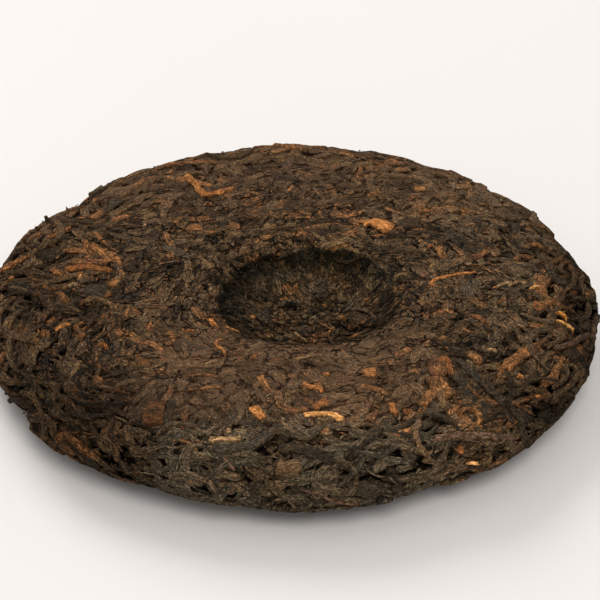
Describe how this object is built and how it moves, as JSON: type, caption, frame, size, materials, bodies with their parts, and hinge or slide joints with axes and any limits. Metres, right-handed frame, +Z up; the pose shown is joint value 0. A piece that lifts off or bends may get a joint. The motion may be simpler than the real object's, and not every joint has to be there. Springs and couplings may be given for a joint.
{
  "type": "pu-erh tea cake",
  "caption": "Round pressed cake of dark fermented tea leaves, with a rounded rim, a dimple in its top and a gently domed underside that stands on a small flat spot.",
  "frame": {"origin": "middle of the flat spot on the underside, on the surface that the cake lies on", "axes": "+Z up, out of the dimpled side; +Y away from the viewer of the picture; +X to the viewer's right"},
  "size_m": [0.2022, 0.2027, 0.0262],
  "materials": {
    "pressed_tea": "matte, rough pressed leaf"
  },
  "bodies": {
    "root": {"tea_cake": "pressed_tea"}
  },
  "joints": []
}
